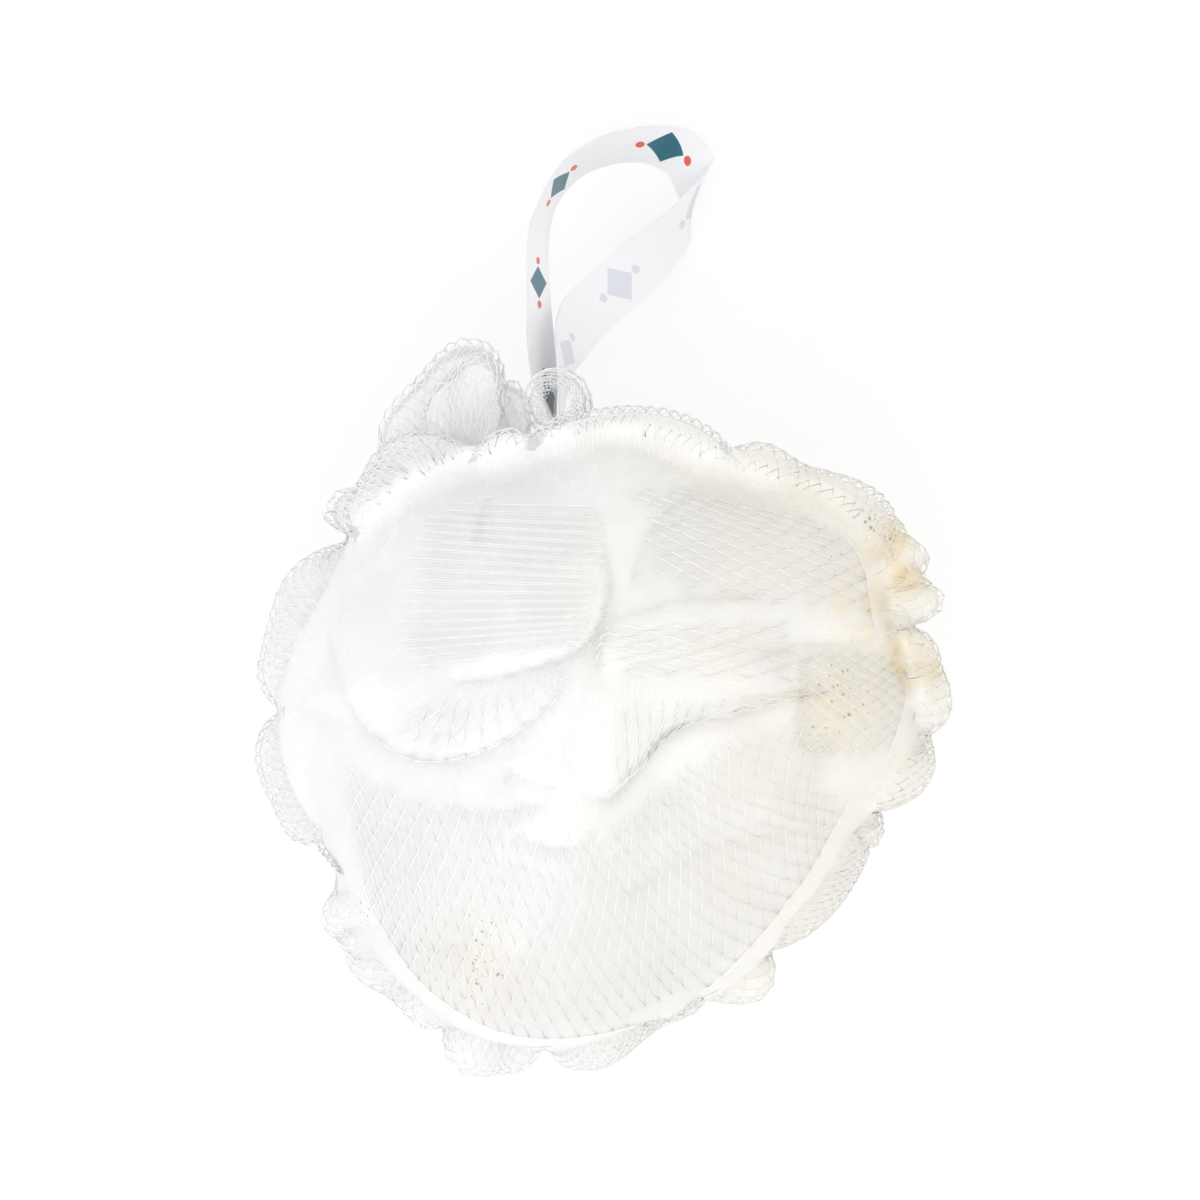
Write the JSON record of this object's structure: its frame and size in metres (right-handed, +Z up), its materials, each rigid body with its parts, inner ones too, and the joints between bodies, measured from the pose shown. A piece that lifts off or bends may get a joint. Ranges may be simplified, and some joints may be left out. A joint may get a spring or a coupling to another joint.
{
  "type": "mesh bath pouf",
  "caption": "White mesh bath pouf: gathered netting ruffles round a tied waist, with a satin ribbon loop to hang it by.",
  "frame": {"origin": "on the surface that the pouf rests on, under the middle of the ball of ruffles", "axes": "+Z up from the surface, +Y towards the ribbon loop, +X to the right seen from above with the ribbon at the top"},
  "size_m": [0.1461, 0.2006, 0.1145],
  "materials": {
    "net": "knitted white net, soft sheen, faint cream tint in places",
    "satin": "white satin ribbon with a plain woven reverse",
    "cord": "plain white twisted cord"
  },
  "bodies": {
    "root": {"netting": "net", "ribbon_loop": "satin", "tie_cord": "cord"}
  },
  "joints": []
}
